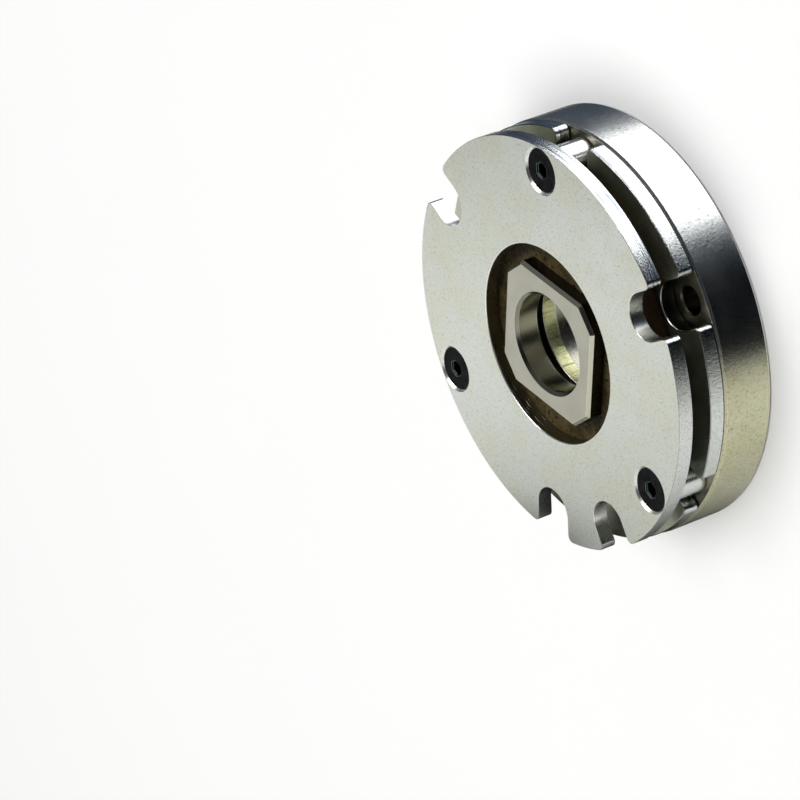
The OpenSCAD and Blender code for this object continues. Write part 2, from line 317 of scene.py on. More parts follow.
def addNode(tree, kind, values=None, **settings):
    node = tree.nodes.new(kind)
    for key, value in settings.items():
        setattr(node, key, value)
    for key, value in (values or {}).items():
        if isinstance(value, bpy.types.NodeSocket):
            tree.links.new(value, node.inputs[key])
        else:
            node.inputs[key].default_value = value
    return node


def mathNode(tree, operation, a, b=0.0, c=0.0, clamp=False):
    node = addNode(tree, "ShaderNodeMath", {0: a, 1: b, 2: c}, operation=operation, use_clamp=clamp)
    return node.outputs[0]


def vectorMath(tree, operation, values):
    return addNode(tree, "ShaderNodeVectorMath", values, operation=operation).outputs


def product(tree, *values):
    total = values[0]
    for value in values[1:]:
        total = mathNode(tree, "MULTIPLY", total, value)
    return total


def ramp(tree, value, low, high, toLow=0.0, toHigh=1.0):
    values = {"Value": value, "From Min": low, "From Max": high, "To Min": toLow, "To Max": toHigh}
    return addNode(tree, "ShaderNodeMapRange", values, interpolation_type="SMOOTHSTEP").outputs[0]


def mixColour(tree, share, a, b):
    node = addNode(tree, "ShaderNodeMix", data_type="RGBA", clamp_factor=True)
    for socket, value in ((0, share), (6, a), (7, b)):
        if isinstance(value, bpy.types.NodeSocket):
            tree.links.new(value, node.inputs[socket])
        else:
            node.inputs[socket].default_value = value if socket == 0 else tuple(value) + (1.0,)
    return node.outputs[2]


def newGroup(name, numbers, outputs):
    tree = bpy.data.node_groups.new(name, "ShaderNodeTree")
    tree.interface.new_socket("Vector", in_out="INPUT", socket_type="NodeSocketVector")
    for label, value in numbers.items():
        socket = tree.interface.new_socket(label, in_out="INPUT", socket_type="NodeSocketFloat")
        socket.default_value = value
    for label in outputs:
        tree.interface.new_socket(label, in_out="OUTPUT", socket_type="NodeSocketFloat")
    source = tree.nodes.new("NodeGroupInput").outputs
    sink = tree.nodes.new("NodeGroupOutput").inputs
    return tree, source, sink


def noiseNode(tree, vector, scale, detail=3.0, roughness=0.6):
    values = {"Vector": vector, "Scale": scale, "Detail": detail, "Roughness": roughness}
    return addNode(tree, "ShaderNodeTexNoise", values).outputs[0]


# where the masks of the shared effects start and are full
masks = {"speckFade": 0.08, "clouds": (0.3, 0.7), "marks": (0.5, 0.66), "rubbed": (0.15, 0.75),
         "rubScale": 0.9, "mottle": (0.35, 0.65)}


# Fine specks, soft clouds and a grain, all in mm.
def grainGroup():
    numbers = {"Speck Scale": 2.0, "Speck Level": 0.62, "Cloud Scale": 0.15}
    tree, source, sink = newGroup("surfaceGrain", numbers, ["Specks", "Clouds", "Grain"])
    fine = noiseNode(tree, source["Vector"], source["Speck Scale"], 3.0, 0.7)
    full = mathNode(tree, "ADD", source["Speck Level"], masks["speckFade"])
    tree.links.new(ramp(tree, fine, source["Speck Level"], full), sink["Specks"])
    clouds = noiseNode(tree, source["Vector"], source["Cloud Scale"], 3.0, 0.55)
    tree.links.new(ramp(tree, clouds, *masks["clouds"]), sink["Clouds"])
    tree.links.new(fine, sink["Grain"])
    return tree


# Marks of a tool: noise stretched along the shaft (Stretch below 1) or round it (above 1).
def marksGroup():
    tree, source, sink = newGroup("toolMarks", {"Scale": 3.0, "Stretch": 0.03}, ["Marks", "Height"])
    squeeze = addNode(tree, "ShaderNodeCombineXYZ", {"X": 1.0, "Y": 1.0, "Z": source["Stretch"]}).outputs[0]
    along = vectorMath(tree, "MULTIPLY", {0: source["Vector"], 1: squeeze})[0]
    noise = noiseNode(tree, along, source["Scale"], 4.0, 0.7)
    tree.links.new(ramp(tree, noise, *masks["marks"]), sink["Marks"])
    tree.links.new(noise, sink["Height"])
    return tree


# Where a rounded edge is rubbed bright, drawn dark as painted shade on some rims, and tinted as a painted
# glint in screw sockets: the edge value broken up by noise.
def rubbedGroup():
    tree, source, sink = newGroup("rubbedEdge", {"Edge": 0.0, "Breakup": 0.5}, ["Mask"])
    noise = noiseNode(tree, source["Vector"], masks["rubScale"], 4.0)
    shift = product(tree, mathNode(tree, "SUBTRACT", noise, 0.5), source["Breakup"])
    wearAndPaintedLight = mathNode(tree, "ADD", source["Edge"], shift)
    tree.links.new(ramp(tree, wearAndPaintedLight, *masks["rubbed"]), sink["Mask"])
    return tree


groups = {"grain": grainGroup(), "marks": marksGroup(), "rubbed": rubbedGroup()}


def useGroup(tree, key, values):
    return addNode(tree, "ShaderNodeGroup", values, node_tree=groups[key]).outputs


def newMaterial(name):
    material = bpy.data.materials.new(name)
    material.use_nodes = True
    tree = material.node_tree
    tree.nodes.clear()
    shader = tree.nodes.new("ShaderNodeBsdfPrincipled")
    output = tree.nodes.new("ShaderNodeOutputMaterial")
    tree.links.new(shader.outputs[0], output.inputs[0])
    spot = addNode(tree, "ShaderNodeTexCoord").outputs["Object"]
    inMm = vectorMath(tree, "SCALE", {0: spot, "Scale": 1 / mm})[0]
    return material, tree, shader, inMm


def zoneMasks(tree):
    zone = addNode(tree, "ShaderNodeAttribute", attribute_name="zone").outputs["Color"]
    split = addNode(tree, "ShaderNodeSeparateColor", {0: zone}).outputs
    edge = addNode(tree, "ShaderNodeAttribute", attribute_name="edge").outputs["Fac"]
    return split[0], split[1], split[2], edge


def addBump(tree, shader, height):
    bump = addNode(tree, "ShaderNodeBump", {"Height": height, "Strength": 1.0, "Distance": mm})
    tree.links.new(bump.outputs[0], shader.inputs["Normal"])


# Plated steel: cloudy speckled faces, tool marks on rims and in bores, and rubbed edges; the rims also take a
# painted reflection tint by height, some rims a painted dark edge line, and some holes a dark colour as
# painted shade.
def platedSteel(name, look):
    material, tree, shader, spot = newMaterial(name)
    rim, bore, hole, edge = zoneMasks(tree)
    grain = useGroup(tree, "grain", {"Vector": spot, "Speck Scale": look["speckScale"],
                                     "Speck Level": look["speckLevel"], "Cloud Scale": look["cloudScale"]})
    rubbed = useGroup(tree, "rubbed", {"Vector": spot, "Edge": edge, "Breakup": look["breakup"]})["Mask"]
    clouds = product(tree, grain["Clouds"], look["cloudAmount"])
    colour = mixColour(tree, clouds, look["face"], look["cloud"])
    # painted reflection: the rim's colour shifts with height in y, warm low down and neutral high up
    level = addNode(tree, "ShaderNodeSeparateXYZ", {0: spot}).outputs[1]
    paintedReflectionSide = ramp(tree, level, look["reflectionTintFrom"], look["reflectionTintTo"])
    clouds = product(tree, grain["Clouds"], look["rimCloudAmount"])
    rimToneAndReflection = mixColour(tree, clouds, look["rimLowReflection"], look["rimCloud"])
    rimToneAndReflection = mixColour(tree, paintedReflectionSide, rimToneAndReflection, look["rim"])
    for zone, tint in ((rim, rimToneAndReflection), (bore, look["bore"]), (hole, look["hole"])):
        colour = mixColour(tree, zone, colour, tint)
    speckShare = mathNode(tree, "MULTIPLY_ADD", rim, look["rimSpecks"], look["speckAmount"])
    colour = mixColour(tree, product(tree, grain["Specks"], speckShare), colour, look["speck"])
    mottle = product(tree, ramp(tree, grain["Grain"], *masks["mottle"]), look["mottleAmount"])
    colour = mixColour(tree, mottle, colour, look["speck"])
    height = product(tree, grain["Grain"], look["grainHeight"])
    rough = mathNode(tree, "MULTIPLY_ADD", grain["Clouds"], look["roughSpread"], look["faceRough"])
    # the fine lines, with their painted bluish reflection, go on the upper side of the rim only
    lined = product(tree, rim, paintedReflectionSide)
    for zone, tool in ((rim, look["rimMarks"]), (lined, look["rimLines"]), (bore, look["boreMarks"])):
        marks = useGroup(tree, "marks", {"Vector": spot, "Scale": tool["scale"], "Stretch": tool["stretch"]})
        colour = mixColour(tree, product(tree, marks["Marks"], zone, tool["amount"]), colour, tool["colour"])
        height = mathNode(tree, "ADD", height, product(tree, marks["Height"], zone, tool["height"]))
    for zone, gloss in ((rim, look["rimRough"]), (bore, look["boreRough"]), (hole, look["holeRough"])):
        rough = mathNode(tree, "ADD", rough, product(tree, zone, gloss - look["faceRough"]))
    # on rims the eased edges take rimEdgeWearAndShade: a painted dark line of shade for the plate and
    # armature, rubbed bright wear for the others
    wearAndPaintedLight = mixColour(tree, rim, look["rubbed"], look["rimEdgeWearAndShade"])
    colour = mixColour(tree, product(tree, rubbed, look["rubbedAmount"]), colour, wearAndPaintedLight)
    rough = mathNode(tree, "SUBTRACT", rough, product(tree, rubbed, look["rubbedGloss"]), clamp=True)
    tree.links.new(colour, shader.inputs["Base Color"])
    tree.links.new(rough, shader.inputs["Roughness"])
    shader.inputs["Metallic"].default_value = 1.0
    addBump(tree, shader, height)
    return material


# tool marks: scale and stretch of the noise, share of the colour and height in mm
turnedMarks = {"scale": 2.2, "stretch": 1.5, "amount": 0.45, "height": 0.05, "colour": (0.36, 0.38, 0.42)}
# fine rim lines: real turning lines coloured with a painted bluish reflection
lineMarksAndReflection = {"scale": 0.05, "stretch": 34.0, "amount": 0.9, "height": 0.09, "colour": (0.2, 0.24, 0.31)}
punchedMarks = {"scale": 1.6, "stretch": 0.05, "amount": 0.7, "height": 0.1, "colour": (0.14, 0.15, 0.07)}
# the rim's colour goes from rimLowReflection to rim between y = reflectionTintFrom and y = reflectionTintTo,
# a painted reflection: warm low on the rim, neutral high up
plateLook = {
    "face": (0.69, 0.715, 0.68), "cloud": (0.69, 0.70, 0.60), "cloudScale": 0.12, "cloudAmount": 0.9,
    "rim": (0.78, 0.80, 0.79), "rimLowReflection": (0.78, 0.80, 0.78), "reflectionTintFrom": 4, "reflectionTintTo": 16,
    "rimCloud": (0.70, 0.72, 0.68), "rimCloudAmount": 0.6,
    "bore": (0.3, 0.29, 0.22), "hole": (0.88, 0.88, 0.86),
    "speck": (0.25, 0.26, 0.22), "speckScale": 2.6, "speckLevel": 0.6, "speckAmount": 0.6, "rimSpecks": 0.35,
    "mottleAmount": 0.14, "grainHeight": 0.006,
    "rimMarks": turnedMarks, "rimLines": lineMarksAndReflection, "boreMarks": dict(turnedMarks, height=0.02),
    # rimEdgeWearAndShade here is a painted dark line of shade along the rim's eased edges
    "rubbed": (0.93, 0.94, 0.92), "rimEdgeWearAndShade": (0.2, 0.21, 0.2), "rubbedAmount": 0.7, "rubbedGloss": 0.12,
    "breakup": 0.6,
    "faceRough": 0.3, "rimRough": 0.13, "boreRough": 0.25, "holeRough": 0.25, "roughSpread": 0.06,
}
# statorLook: its warm yellowish lower rim colours (rimLowReflection, rimCloud) are a painted reflection of
# the lit card below
statorLook = dict(
    plateLook, face=(0.34, 0.33, 0.27), cloud=(0.3, 0.29, 0.23), rim=(0.60, 0.62, 0.61),
    rimLowReflection=(0.64, 0.63, 0.45), rimCloud=(0.58, 0.56, 0.33), bore=(0.40, 0.39, 0.33), hole=(0.12, 0.115, 0.1),
    speck=(0.2, 0.16, 0.1), speckScale=1.7, speckLevel=0.61, speckAmount=0.35, mottleAmount=0.22,
    grainHeight=0.022, rimRough=0.2,
    rimMarks=dict(turnedMarks, scale=2.5, stretch=1.3, height=0.008, amount=0.08),
    rimLines=dict(lineMarksAndReflection, height=0.002, amount=0.06), rimEdgeWearAndShade=plateLook["rubbed"])
# armatureLook: the near-black hole colour of the notch walls is painted shade
armatureLook = dict(
    plateLook, face=(0.5, 0.52, 0.41), bore=(0.68, 0.68, 0.38), hole=(0.1, 0.095, 0.08),
    boreMarks=punchedMarks, rimMarks=dict(turnedMarks, scale=2.6, stretch=0.5))
collarLook = dict(
    plateLook, rim=(0.84, 0.84, 0.8), rimRough=0.2, speckAmount=0.2, rimSpecks=0.0,
    rimEdgeWearAndShade=plateLook["rubbed"], rimMarks=dict(turnedMarks, height=0.008, amount=0.05),
    rimLines=dict(lineMarksAndReflection, height=0.004, amount=0.1))
# hubLook: the near-black hole colour of the side walls is painted shade of the recess round the hub; the
# bore's dark colour is partly its finish, partly painted shade
hubLook = dict(
    plateLook, face=(0.46, 0.45, 0.38), cloud=(0.42, 0.41, 0.34), rim=(0.60, 0.585, 0.47),
    rimLowReflection=(0.60, 0.585, 0.47), rimCloudAmount=0.0, bore=(0.27, 0.255, 0.2), hole=(0.09, 0.08, 0.07),
    speckAmount=0.2, rimSpecks=0.0, mottleAmount=0.06, boreRough=0.16, rimRough=0.16,
    rimEdgeWearAndShade=plateLook["rubbed"], rimMarks=dict(turnedMarks, height=0.006, amount=0.1),
    rimLines=dict(lineMarksAndReflection, height=0.0, amount=0.1),
    boreMarks=dict(turnedMarks, height=0.01, amount=0.2, scale=0.3, stretch=12.0))
steels = {name: platedSteel(name, look) for name, look in
          (("plateSteel", plateLook), ("statorSteel", statorLook), ("armatureSteel", armatureLook),
           ("collarSteel", collarLook), ("hubSteel", hubLook))}


# Moulded, drawn or blackened finishes: a colour drifting to a second, flecks of a third, a fine bump, painted
# shade on the rim zone, and rubbed edges that also carry a painted glint in screw sockets.
def mouldedFinish(name, look):
    material, tree, shader, spot = newMaterial(name)
    rim, _, hole, edge = zoneMasks(tree)
    grain = useGroup(tree, "grain", {"Vector": spot, "Speck Scale": look["fleckScale"],
                                     "Speck Level": look["fleckLevel"], "Cloud Scale": look["driftScale"]})
    rubbed = useGroup(tree, "rubbed", {"Vector": spot, "Edge": edge, "Breakup": look["breakup"]})["Mask"]
    colour = mixColour(tree, grain["Clouds"], look["colour"], look["drift"])
    colour = mixColour(tree, product(tree, grain["Specks"], look["fleckAmount"]), colour, look["fleck"])
    # the socket's lead-in (hole zone) gets more of the rubbed colour: wear with a painted glint
    wearAndPaintedLight = mathNode(tree, "MULTIPLY_ADD", hole, look["leadWearAndGlint"], look["rubbedAmount"])
    colour = mixColour(tree, product(tree, rubbed, wearAndPaintedLight), colour, look["rubbed"])
    # painted shade: the rim zone is darkened toward the rim colour
    colour = mixColour(tree, product(tree, rim, look["paintedRimShade"]), colour, look["rim"])
    tree.links.new(colour, shader.inputs["Base Color"])
    rough = mathNode(tree, "MULTIPLY_ADD", grain["Grain"], look["roughSpread"], look["rough"])
    tree.links.new(rough, shader.inputs["Roughness"])
    shader.inputs["Metallic"].default_value = look["metal"]
    shader.inputs["Specular IOR Level"].default_value = look["specular"]
    shader.inputs["Specular Tint"].default_value = (look["edgeTint"],) * 3 + (1,)
    addBump(tree, shader, product(tree, grain["Grain"], look["grainHeight"]))
    return material


# liningLook: the nearly black rim colour, laid on at paintedRimShade, is painted shade on the lining's rim in
# the gap between plate and armature
liningLook = {
    "colour": (0.15, 0.112, 0.045), "drift": (0.055, 0.04, 0.016), "driftScale": 0.25,
    "fleck": (0.012, 0.009, 0.006), "fleckScale": 1.3, "fleckLevel": 0.54, "fleckAmount": 0.95,
    "rim": (0.03, 0.017, 0.009), "paintedRimShade": 0.9, "rubbed": (0.15, 0.11, 0.05), "rubbedAmount": 0.6,
    "leadWearAndGlint": 0.0, "breakup": 0.8, "rough": 0.35, "roughSpread": 0.25, "metal": 0.0, "specular": 0.08,
    "edgeTint": 1.0, "grainHeight": 0.08,
}
# screwLook: the teal rubbed colour on edges and the socket's lead-in is partly rubbed metal, partly a painted
# teal glint
screwLook = {
    "colour": (0.014, 0.0135, 0.014), "drift": (0.024, 0.0235, 0.024), "driftScale": 0.6,
    "fleck": (0.06, 0.055, 0.05), "fleckScale": 4.0, "fleckLevel": 0.66, "fleckAmount": 0.25,
    "rim": (0.02, 0.02, 0.02), "paintedRimShade": 0.0, "rubbed": (0.2, 0.34, 0.36), "rubbedAmount": 0.15,
    "leadWearAndGlint": 0.85, "breakup": 0.8, "rough": 0.28, "roughSpread": 0.2, "metal": 1.0, "specular": 0.5,
    "edgeTint": 0.5, "grainHeight": 0.006,
}
rubberLook = dict(screwLook, colour=(0.02, 0.02, 0.02), drift=(0.03, 0.03, 0.031), rubbed=(0.05, 0.05, 0.05),
                  fleckAmount=0.1, metal=0.0, rough=0.6, edgeTint=1.0, grainHeight=0.01)
springLook = dict(screwLook, colour=(0.5, 0.5, 0.52), drift=(0.42, 0.43, 0.46), rubbed=(0.7, 0.7, 0.7),
                  rough=0.25, edgeTint=1.0)
copperLook = dict(screwLook, colour=(0.72, 0.34, 0.14), drift=(0.62, 0.26, 0.1), rubbed=(0.8, 0.45, 0.25),
                  fleckAmount=0.0, rough=0.25, edgeTint=1.0)
nylonLook = dict(rubberLook, colour=(0.82, 0.79, 0.68), drift=(0.78, 0.75, 0.63), rubbed=(0.85, 0.83, 0.75),
                 rough=0.4)
resinLook = dict(rubberLook, colour=(0.03, 0.027, 0.025), drift=(0.05, 0.045, 0.04), rough=0.22)
finishes = {name: mouldedFinish(name, look) for name, look in
            (("frictionLining", liningLook), ("blackScrew", screwLook), ("grommetRubber", rubberLook),
             ("springWire", springLook), ("copperWire", copperLook), ("bobbinNylon", nylonLook),
             ("pottingResin", resinLook))}
print("finishes:", len(steels) + len(finishes))


# side plate: turned disc with four notches, a round bore and countersinks that reach nearly to the rim
sidePlate = {
    "notches": (30, 150, 270, 300), "edge": 0.1, "backEdge": 0.06,
    "bore": 19.2, "boreEdge": 0.25, "boreBack": 0.15, "boreSides": 360,
    "sink": 4.6, "sinkEdge": 0.08, "holeEdge": 0.1, "sinkSides": 72,
    "grooves": (18.1, 18.75, 19.35, 19.95), "grooveDepth": 0.09, "grooveHalf": 0.1, "grooveRows": 64,
    "chatter": (13, 29, 47), "chatterAt": 240, "chatterReach": 36, "chatterFull": 1.3,
    "chatterLevel": 0.45, "chatterSwing": 0.4, "chatterShift": 1.7,
}


# Bore with chatter marks: r = R + d g(z) m(t), where g is a row of V grooves and m, a sum of sines that fades
# away from one side, breaks them up; the eased ends come from the plain section, t runs round and z along.
def chatteredBore(back, front):
    bore, count = sidePlate["bore"], sidePlate["boreSides"]
    ends = roundedWall(bore, back, front, sidePlate["boreBack"], sidePlate["boreEdge"], hollow=True)
    heights = ends[0][:, 1]
    half = len(heights) // 2
    t = np.arange(count)[:, None] * 2 * np.pi / count
    z = np.linspace(heights[half - 1], heights[half], sidePlate["grooveRows"])[None]
    off = np.abs(np.degrees(t) - sidePlate["chatterAt"])
    fade = np.clip(sidePlate["chatterFull"] - off / sidePlate["chatterReach"], 0, 1)
    depth = 0 * t + 0 * z
    for number, level in enumerate(sidePlate["grooves"]):
        groove = np.clip(1 - np.abs(z - level) / sidePlate["grooveHalf"], 0, 1)
        breaks = sum(np.sin(f * t + sidePlate["chatterShift"] * number * f) for f in sidePlate["chatter"])
        share = np.clip(sidePlate["chatterLevel"] + sidePlate["chatterSwing"] * breaks, 0, 1)
        depth = depth + sidePlate["grooveDepth"] * groove * fade * share
    r = bore + depth
    z = z + 0 * t
    slope = np.gradient(r, axis=1) / np.gradient(z, axis=1)
    wall = np.stack([r * np.cos(t), r * np.sin(t), z], -1)
    wallLook = np.stack([-np.cos(t) + 0 * z, -np.sin(t) + 0 * z, slope], -1)

    def joined(outer, middle):
        outer = outer.reshape((count, -1) + middle.shape[2:])
        return np.concatenate([outer[:, :half], middle[:, 1:-1], outer[:, half:]], 1)

    ring = turned(ends, count)
    points = joined(ring["points"], wall)
    normals = joined(ring["normals"], wallLook)
    edges = joined(ring["edge"], 0 * r)
    # the front edge is finished as the face is
    zones = np.where(np.arange(points.shape[1])[:, None] < half, plainZone, boreZone)
    return gridPatch(points, normals, edges, np.broadcast_to(zones, points.shape).reshape(-1, 3))


back, front = stack["plateBack"], stack["front"]
rimBand = notchedBand(roundedWall(0, back, front, sidePlate["backEdge"], sidePlate["edge"]),
                      sidePlate["notches"])
sink, hole, ease = sidePlate["sink"], stack["screwHole"], sidePlate["holeEdge"]
sinkSection = edgeSection([(2 * sink, front), (sink, front), (hole, front - (sink - hole)), (hole, back),
                           (2 * hole, back)], [0, sidePlate["sinkEdge"], ease, ease, 0])
holes = [chatteredBore(back, front)]
for angle in stack["screwAngles"]:
    holes.append(turned(sinkSection, sidePlate["sinkSides"], holeZone, onBoltCircle(angle)))
makePiece("sidePlate", [rimBand] + holes + closingFaces(rimBand, holes, back, front),
          steels["plateSteel"], "housing", ["side_plate"])


# armature: a disc with six notches
armature = {"notches": (30, 90, 150, 210, 270, 330), "edge": 0.25, "backEdge": 0.12,
            "bore": 10.75, "boreEdge": 0.2, "boreSides": 180}
back, front, ease = stack["armatureBack"], stack["rotorBack"], armature["boreEdge"]
rimBand = notchedBand(roundedWall(0, back, front, armature["backEdge"], armature["edge"]),
                      armature["notches"])
boreBand = turned(roundedWall(armature["bore"], back, front, ease, ease, hollow=True), armature["boreSides"],
                  boreZone)
makePiece("armaturePlate", [rimBand, boreBand] + closingFaces(rimBand, [boreBand], back, front),
          steels["armatureSteel"], "armature", ["armature_plate"])


# stator: steel ring with a slot for the coil, pockets for the springs, holes for screws and a side inlet;
# its walls have a point at each degree, as the drilled ones do
stator = {
    "rim": 40.0, "edge": 0.4, "soften": 0.08, "sides": 360, "bore": 12.0, "boreSides": 180,
    "slotInner": 18.0, "slotOuter": 29.0, "slotFloor": 3.2, "slotCorner": 0.2,
    "mountHole": 2.65, "mountEdge": 0.3, "mountSides": 64,
    "tapHole": 2.05, "tapFloor": 3.0, "tapPoint": 1.1, "blindSides": 48,
    "pocket": 2.35, "pocketFloor": 3.0, "pocketCorner": 0.1, "springAngles": (0, 60, 120, 180, 240, 300),
    "inletAngle": 225, "inletHole": 2.0, "inletHeight": 6.75, "inletSector": 6, "inletSteps": 40,
}


# Wall r = R between two heights with a round radial hole at one angle: a plain grid but for one sector, which
# is filled round the hole; the hole's points lie where y = h cos a and z = z0 + h sin a meet the wall.
def drilledWall(radius, low, high, sign, zone):
    middle, half, hole = stator["inletAngle"], stator["inletSector"], stator["inletHole"]
    t = np.radians(np.arange(middle + half, middle + 360 - half + 1))[:, None]
    flat = np.stack([np.cos(t), np.sin(t), 0 * t], -1) * np.ones((1, 2, 1))
    points = flat * radius
    points[..., 2] = np.array([low, high])
    grid = gridPatch(points, flat * sign, np.zeros(points.shape[:2]), zone, closed=False)
    across = np.arange(middle - half, middle + half + 1)
    border = np.concatenate([np.column_stack([across, np.full(len(across), low)]),
                             np.column_stack([across[::-1], np.full(len(across), high)])])
    a = np.arange(stator["inletSteps"]) * 2 * np.pi / stator["inletSteps"]
    ring = np.column_stack([middle + np.degrees(np.arcsin(hole * np.cos(a) / radius)),
                            stator["inletHeight"] + hole * np.sin(a)])
    unrolled, faces = fillLoops([border, ring])
    t = np.radians(unrolled[:, 0])
    look = np.column_stack([np.cos(t), np.sin(t), 0 * t])
    points = np.column_stack([look[:, :2] * radius, unrolled[:, 1]])
    sector = patch(points, look * sign, np.zeros(len(points)), zone, faces)
    return [grid, sector], points[len(border):]


# Hole from the pole face down to a floor that is flat or comes to a point.
def blindHole(radius, floor, point, corner, angle):
    path = easedPath([(2 * radius, pole), (radius, pole), (radius, floor), (0, floor - point)],
                     [0, soft, corner, 0])
    return turned([part[1:] for part in path], stator["blindSides"], holeZone, onBoltCircle(angle))


rim, edge, soft, pole = stator["rim"], stator["edge"], stator["soften"], stack["poleFace"]
slotIn, slotOut, sole, corner = (stator[key] for key in ("slotInner", "slotOuter", "slotFloor", "slotCorner"))
middle, sides = pole / 2, stator["sides"]
low = edgeSection([(slotOut, 0), (rim - edge, 0), (rim, edge), (rim, middle)], [0, soft, soft, 0])
high = edgeSection([(rim, middle), (rim, pole - edge), (rim - edge, pole), (slotOut, pole)],
                   [0, soft, soft, 0])
lowRing, highRing = turned(low, sides, rimZone), turned(high, sides, rimZone)
outerWall, outerMouth = drilledWall(rim, low[0][-1, 1], high[0][0, 1], 1, rimZone)
slotRim = edgeSection([(rim, pole), (slotOut, pole), (slotOut, middle)], [0, soft, 0])
slotSole = edgeSection([(slotOut, middle), (slotOut, sole), (slotIn, sole), (slotIn, pole),
                        (stator["bore"], pole)], [0, corner, corner, soft, 0])
slotRimRing, slotSoleRing = turned(slotRim, sides), turned(slotSole, sides)
innerWall, innerMouth = drilledWall(slotOut, slotSole[0][0, 1], slotRim[0][-1, 1], -1, plainZone)
a = np.arange(stator["inletSteps"])[:, None] * 2 * np.pi / stator["inletSteps"]
away = np.radians(stator["inletAngle"])
tubeLook = -np.concatenate([-np.sin(away) * np.cos(a), np.cos(away) * np.cos(a), np.sin(a)], 1)
tube = gridPatch(np.stack([innerMouth, outerMouth], 1), np.stack([tubeLook, tubeLook], 1),
                 np.zeros((len(a), 2)), plainZone)
boreRing = turned(chamferedWall(stator["bore"], 0, pole, edge, soft, hollow=True), stator["boreSides"],
                  boreZone)
hole, ease = stator["mountHole"], stator["mountEdge"]
mountSection = edgeSection([(2 * hole, pole), (hole + ease, pole), (hole, pole - ease), (hole, 0),
                            (2 * hole, 0)], [0, soft, soft, soft, 0])
# the stator's mount holes, tapped holes and spring pockets take its near-black hole colour, painted shade in
# the holes
mountHoles = [turned(mountSection, stator["mountSides"], holeZone, onBoltCircle(angle))
              for angle in stack["mountAngles"]]
blindHoles = [blindHole(stator["tapHole"], stator["tapFloor"], stator["tapPoint"], 0, angle)
              for angle in stack["screwAngles"]]
blindHoles += [blindHole(stator["pocket"], stator["pocketFloor"], 0, stator["pocketCorner"], angle)
               for angle in stator["springAngles"]]
holes = mountHoles + blindHoles
faces = [flatFace([highRing["last"], slotRimRing["first"]] + [hole["first"] for hole in holes], pole, True),
         flatFace([slotSoleRing["last"], boreRing["first"]], pole, True),
         flatFace([lowRing["first"], boreRing["last"]] + [hole["last"] for hole in mountHoles], 0.0, False)]
rings = [lowRing, highRing, slotRimRing, slotSoleRing, tube, boreRing]
makePiece("statorYoke", rings + outerWall + innerWall + holes + faces, steels["statorSteel"], "housing",
          ["stator_yoke"])


# hub: square block with cut corners, chamfered round both ends
hub = {"width": 26.4, "corner": 4.2, "upright": 0.7, "edge": 0.6, "soften": 0.08, "back": 15.2,
       "wallWithin": 0.001, "bore": 9.5, "boreEdge": 0.6, "boreSides": 200}
back, front, soft = hub["back"], stack["front"], hub["soften"]
section = chamferedWall(0, back, front, hub["edge"], soft)
# the side walls get the near-black hole colour, painted shade of the recess round the hub
paintedShadeWall = section[0][None, :, :1] > -hub["wallWithin"]
sides = carried(section, cutSquare(hub["width"], hub["corner"], hub["upright"], stack["hubTurn"]),
                np.where(paintedShadeWall, holeZone, rimZone))  # the walls are left dark
boreBand = turned(chamferedWall(hub["bore"], back, front, hub["boreEdge"], soft, hollow=True),
                  hub["boreSides"], boreZone)
makePiece("rotorHub", [sides, boreBand] + closingFaces(sides, [boreBand], back, front),
          steels["hubSteel"], "hub", ["rotor_hub"])


# lining: moulded ring with a square hole that slides on the hub
lining = {"radius": 30.0, "edge": 0.4, "soften": 0.15, "sides": 240,
          "hole": 26.5, "corner": 4.23, "upright": 0.2}
back, front = stack["rotorBack"], stack["plateBack"]
rimBand = turned(chamferedWall(lining["radius"], back, front, lining["edge"], lining["soften"]),
                 lining["sides"], rimZone)
outline = cutSquare(lining["hole"], lining["corner"], lining["upright"], stack["hubTurn"])
holeBand = carried(roundedWall(0, back, front, 0, 0, hollow=True), outline, plainZone)
makePiece("frictionRotor", [rimBand, holeBand] + closingFaces(rimBand, [holeBand], back, front),
          finishes["frictionLining"], "rotor", ["friction_rotor"])


# collars: three turned distance pieces round the plate screws
collar = {"radius": 3.5, "hole": 2.15, "edge": 0.3, "soften": 0.1, "sides": 72}
low, high, rim, edge = stack["poleFace"], stack["plateBack"], collar["radius"], collar["edge"]
section = ringSection([(collar["hole"], low), (rim - edge, low), (rim, low + edge), (rim, high - edge),
                       (rim - edge, high), (collar["hole"], high)], [collar["soften"]] * 6)
for number, angle in enumerate(stack["screwAngles"], 1):
    makePiece(f"spacerCollar{number}", [turned(section, collar["sides"], rimZone, onBoltCircle(angle))],
              steels["collarSteel"], "housing", [f"spacer_collar_{number}"])


# plate screws: three flat heads with six-sided sockets, in one piece
screw = {"head": 4.3, "headTop": 20.2, "headEdge": 0.12, "neck": 17.9, "neckEase": 0.3, "shank": 2.0,
         "sides": 64, "tip": 4.2, "tipEdge": 0.4, "tipEase": 0.05, "threadTop": 16.6, "threadRows": 150,
         "pitch": 0.7, "threadDepth": 0.22, "runIn": 0.5, "runOut": 0.7,
         "socketWidth": 2.5, "socketDepth": 1.6, "socketPoint": 0.45, "socketLead": 0.28,
         "leadEase": 0.1, "socketCorner": 0.06}


